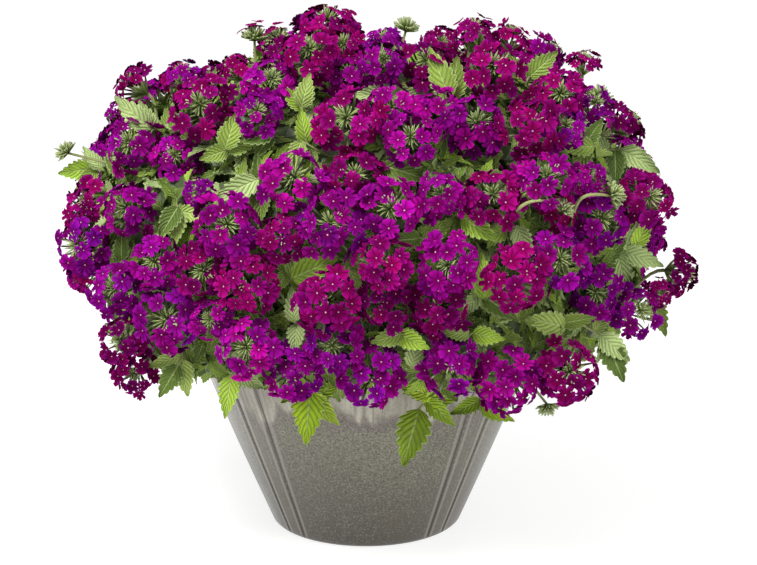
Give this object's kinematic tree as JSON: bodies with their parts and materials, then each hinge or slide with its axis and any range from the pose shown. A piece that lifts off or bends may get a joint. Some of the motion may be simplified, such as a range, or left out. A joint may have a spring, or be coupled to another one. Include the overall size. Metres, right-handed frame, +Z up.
{
  "type": "potted verbena",
  "caption": "Mounded verbena in full flower, its bunches of domed blooms and toothed leaves over a flared, glazed round pot.",
  "frame": {"origin": "middle of the pot's flat underside", "axes": "+Z up, -Y the plant's best side, +X to the right of one who looks at that side"},
  "size_m": [0.5035, 0.4811, 0.4257],
  "materials": {
    "glaze": "semi-matt speckled grey-taupe stoneware glaze with paler runs under the rim",
    "soil": "moist dark potting soil with bark crumbs",
    "foliage": "soft hairy green leaves with paler veins, and green stems",
    "petals": "velvety magenta-purple to wine petals with tiny white eyes"
  },
  "bodies": {
    "root": {"pot": "glaze", "soil": "soil", "west_high_shoot": "foliage", "west_shoot": "foliage", "west_low_shoot": "foliage", "north_west_shoot": "foliage", "crown_shoot": "foliage", "front_high_shoot": "foliage", "north_east_shoot": "foliage", "east_high_shoot": "foliage", "front_east_shoot": "foliage", "front_west_shoot": "foliage", "east_shoot": "foliage", "east_low_shoot": "foliage", "front_low_shoot": "foliage", "east_front_shoot": "foliage", "back_east_shoot": "foliage", "back_north_east_shoot": "foliage", "back_shoot": "foliage", "back_north_west_shoot": "foliage", "back_west_shoot": "foliage", "top_east_shoot": "foliage", "top_shoot": "foliage", "top_west_shoot": "foliage", "west_high_blooms_1": "petals", "west_blooms_1": "petals", "west_blooms_2": "petals", "west_low_blooms_1": "petals", "north_west_blooms_1": "petals", "north_west_blooms_2": "petals", "crown_blooms_1": "petals", "crown_blooms_2": "petals", "front_high_blooms_1": "petals", "front_high_blooms_2": "petals", "north_east_blooms_1": "petals", "north_east_blooms_2": "petals", "east_high_blooms_1": "petals", "front_east_blooms_1": "petals", "front_east_blooms_2": "petals", "front_west_blooms_1": "petals", "front_west_blooms_2": "petals", "east_blooms_1": "petals", "east_blooms_2": "petals", "east_low_blooms_1": "petals", "front_low_blooms_1": "petals", "front_low_blooms_2": "petals", "east_front_blooms_1": "petals", "back_east_blooms_1": "petals", "back_east_blooms_2": "petals", "back_north_east_blooms_1": "petals", "back_north_east_blooms_2": "petals", "back_blooms_1": "petals", "back_blooms_2": "petals", "back_north_west_blooms_1": "petals", "back_north_west_blooms_2": "petals", "back_west_blooms_1": "petals", "back_west_blooms_2": "petals", "top_east_blooms_1": "petals", "top_blooms_1": "petals", "top_west_blooms_1": "petals"}
  },
  "joints": []
}
